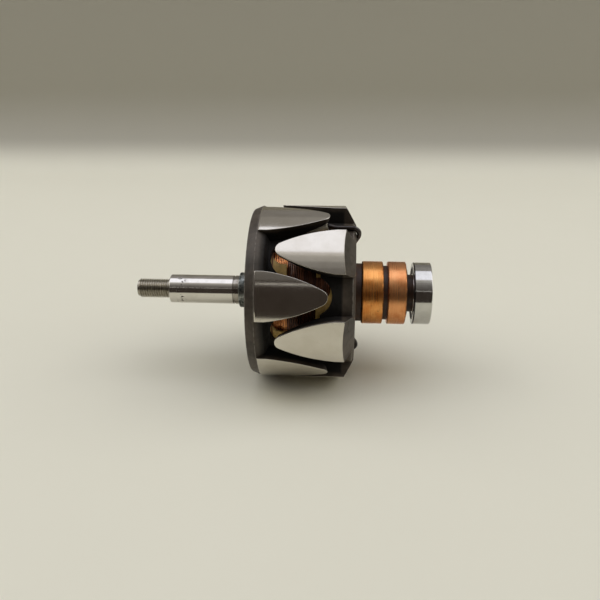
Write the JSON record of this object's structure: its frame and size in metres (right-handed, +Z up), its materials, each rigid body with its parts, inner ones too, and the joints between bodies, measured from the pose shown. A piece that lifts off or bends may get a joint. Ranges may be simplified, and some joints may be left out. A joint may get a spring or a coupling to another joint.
{
  "type": "alternator rotor",
  "caption": "Claw-pole alternator rotor: threaded shaft, interleaved claw poles around a field coil, copper slip rings on a black hub and a sealed ball bearing.",
  "frame": {"origin": "on the floor under the middle of the rotor's length, with the shaft's axis above it", "axes": "+X along the shaft from the threaded drive end to the bearing, +Z up, the pictured side towards -Y"},
  "size_m": [0.1528, 0.089, 0.089],
  "materials": {
    "ground_steel": "ground, with small dark pits",
    "dark_steel": "dark oiled steel",
    "pole_steel": "turned bright on the claws, dark lacquer elsewhere",
    "fibre": "tan insulating sheet",
    "magnet_wire": "enamelled copper wire",
    "sleeve": "cream insulating sleeve",
    "hub_moulding": "black moulding",
    "ring_copper": "turned copper, browned",
    "bearing_steel": "polished bearing steel",
    "seal_rubber": "black rubber seal"
  },
  "bodies": {
    "rotor": {"shaft": "ground_steel", "drive_end_collar": "dark_steel", "drive_end_pole": "pole_steel", "ring_end_pole": "pole_steel", "field_core": "pole_steel", "winding_bobbin": "fibre", "field_winding": "magnet_wire", "inner_ring_lead": "magnet_wire", "outer_ring_lead": "magnet_wire", "inner_lead_sleeve": "sleeve", "outer_lead_sleeve": "sleeve", "slip_ring_hub": "hub_moulding", "inner_slip_ring": "ring_copper", "outer_slip_ring": "ring_copper", "bearing_inner_ring": "bearing_steel", "ball_cage": "bearing_steel", "ball_1": "bearing_steel", "ball_2": "bearing_steel", "ball_3": "bearing_steel", "ball_4": "bearing_steel", "ball_5": "bearing_steel", "ball_6": "bearing_steel", "ball_7": "bearing_steel", "ball_8": "bearing_steel", "ball_9": "bearing_steel"},
    "bearing_outer": {"bearing_outer_ring": "bearing_steel", "inner_seal": "seal_rubber", "outer_seal": "seal_rubber"}
  },
  "joints": [
    {"name": "bearing_spin", "type": "hinge", "parent": "rotor", "child": "bearing_outer", "pos_m": [0.0719, 0, 0.0445], "axis": [1, 0, 0], "continuous": true}
  ]
}
